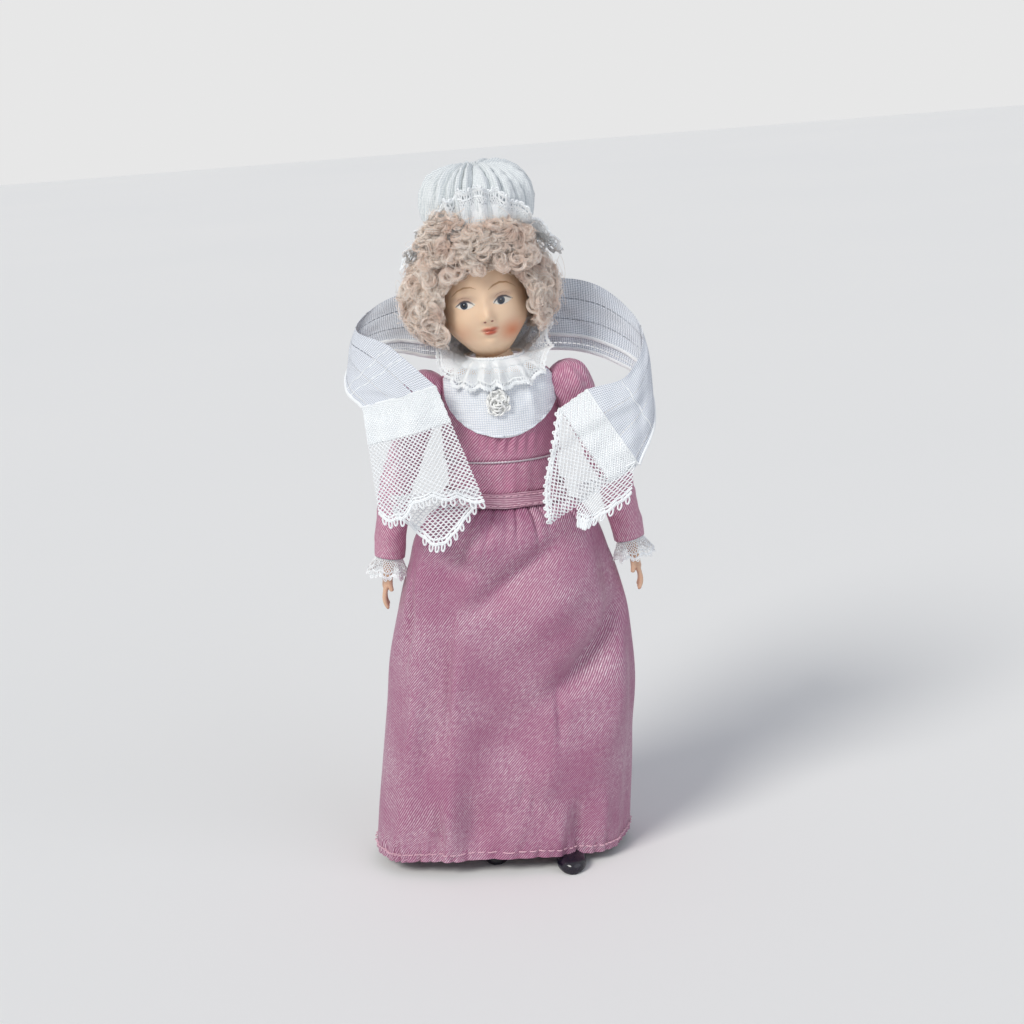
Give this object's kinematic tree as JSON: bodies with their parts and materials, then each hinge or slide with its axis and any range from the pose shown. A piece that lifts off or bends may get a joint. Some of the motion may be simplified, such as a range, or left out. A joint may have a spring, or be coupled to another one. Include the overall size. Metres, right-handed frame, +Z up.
{
  "type": "miniature doll",
  "caption": "Miniature lady doll with bisque head, hands and shod feet on a stuffed wired body, in a satin gown, mob cap and lace-ended stole",
  "frame": {"origin": "on the floor under the centre of the doll's box, at the level of the soles", "axes": "+Z up along the height, the face looks along -Y, +X is the doll's left"},
  "size_m": [0.0662, 0.034, 0.1502],
  "materials": {
    "bisque_face": "matte painted bisque",
    "bisque_plain": "matte bisque",
    "bisque_leg": "matte bisque with a glazed black moulded shoe",
    "mohair": "glossy curled mohair",
    "satin": "dusty pink satin with a diagonal twill sheen",
    "satin_ribbon": "pale pink satin ribbon with stitched edges",
    "cotton_lawn": "white plain-weave cotton",
    "cap_cotton": "white gathered cotton",
    "cotton_gauze": "thin white cotton gauze with drawn threads",
    "lace": "white cotton net lace",
    "braid": "white looped braid",
    "calico": "unbleached stuffed calico",
    "wire": "drawn wire",
    "tie_thread": "clear shiny thread"
  },
  "bodies": {
    "torso": {"torso_stuffing": "calico", "spine_wire": "wire", "shoulder_plate": "bisque_plain", "bodice": "satin", "bib": "cotton_lawn", "waist_ribbon": "satin_ribbon", "bodice_tie": "tie_thread", "skirt": "satin", "neck_ruff": "lace", "brooch": "braid", "stole_panel": "cotton_gauze", "stole_lace_left": "lace", "stole_lace_right": "lace"},
    "neck": {"neck_wire": "wire"},
    "head": {"head_bisque": "bisque_face", "wig": "mohair", "cap_crown": "cap_cotton", "cap_band": "cap_cotton", "cap_frill": "lace"},
    "upper_arm_left": {"sleeve_upper_left": "satin", "arm_core_upper_left": "calico"},
    "forearm_left": {"sleeve_lower_left": "satin", "forearm_left": "bisque_plain", "cuff_lace_left": "lace"},
    "thigh_left": {"thigh_left": "calico"},
    "shin_left": {"lower_leg_left": "bisque_leg"},
    "upper_arm_right": {"sleeve_upper_right": "satin", "arm_core_upper_right": "calico"},
    "forearm_right": {"sleeve_lower_right": "satin", "forearm_right": "bisque_plain", "cuff_lace_right": "lace"},
    "thigh_right": {"thigh_right": "calico"},
    "shin_right": {"lower_leg_right": "bisque_leg"}
  },
  "joints": [
    {"name": "head_tilt", "type": "hinge", "parent": "torso", "child": "neck", "pos_m": [0, 0.00144, 0.1095], "axis": [0, 1, 0], "range_deg": [-8, 14], "deforming": ["neck_ruff", "stole_panel", "stole_lace_left", "stole_lace_right"]},
    {"name": "head_turn", "type": "hinge", "parent": "neck", "child": "head", "pos_m": [0, 0.00144, 0.1095], "axis": [-0.1045, 0, 0.9945], "range_deg": [-25, 25], "deforming": ["neck_ruff", "stole_panel", "stole_lace_left", "stole_lace_right"]},
    {"name": "shoulder_left", "type": "hinge", "parent": "torso", "child": "upper_arm_left", "pos_m": [0.015, 0.00094, 0.1045], "axis": [-1, 0, 0], "range_deg": [-30, 90], "deforming": ["stole_panel", "stole_lace_left", "stole_lace_right"]},
    {"name": "elbow_left", "type": "hinge", "parent": "upper_arm_left", "child": "forearm_left", "pos_m": [0.02324, 0.00094, 0.0841], "axis": [-1, 0, 0], "range_deg": [0, 85], "deforming": ["stole_panel", "stole_lace_left", "stole_lace_right"]},
    {"name": "shoulder_right", "type": "hinge", "parent": "torso", "child": "upper_arm_right", "pos_m": [-0.015, 0.00094, 0.1045], "axis": [-1, 0, 0], "range_deg": [-30, 90], "deforming": ["stole_panel", "stole_lace_left", "stole_lace_right"]},
    {"name": "elbow_right", "type": "hinge", "parent": "upper_arm_right", "child": "forearm_right", "pos_m": [-0.02324, 0.00094, 0.0841], "axis": [-1, 0, 0], "range_deg": [0, 85], "deforming": ["stole_panel", "stole_lace_left", "stole_lace_right"]},
    {"name": "hip_left", "type": "hinge", "parent": "torso", "child": "thigh_left", "pos_m": [0.0064, -0.00006, 0.064], "axis": [-1, 0, 0], "range_deg": [0, 85], "deforming": ["skirt"]},
    {"name": "knee_left", "type": "hinge", "parent": "thigh_left", "child": "shin_left", "pos_m": [0.0072, -0.00175, 0.037], "axis": [1, 0, 0], "range_deg": [0, 85], "deforming": ["skirt"]},
    {"name": "hip_right", "type": "hinge", "parent": "torso", "child": "thigh_right", "pos_m": [-0.0064, -0.00006, 0.064], "axis": [-1, 0, 0], "range_deg": [0, 85], "deforming": ["skirt"]},
    {"name": "knee_right", "type": "hinge", "parent": "thigh_right", "child": "shin_right", "pos_m": [-0.0072, 0.00162, 0.037], "axis": [1, 0, 0], "range_deg": [0, 85], "deforming": ["skirt"]}
  ],
  "couplings": [
    {"joint": "hip_right", "follows": "hip_left", "ratio": 1},
    {"joint": "knee_right", "follows": "knee_left", "ratio": 1}
  ]
}
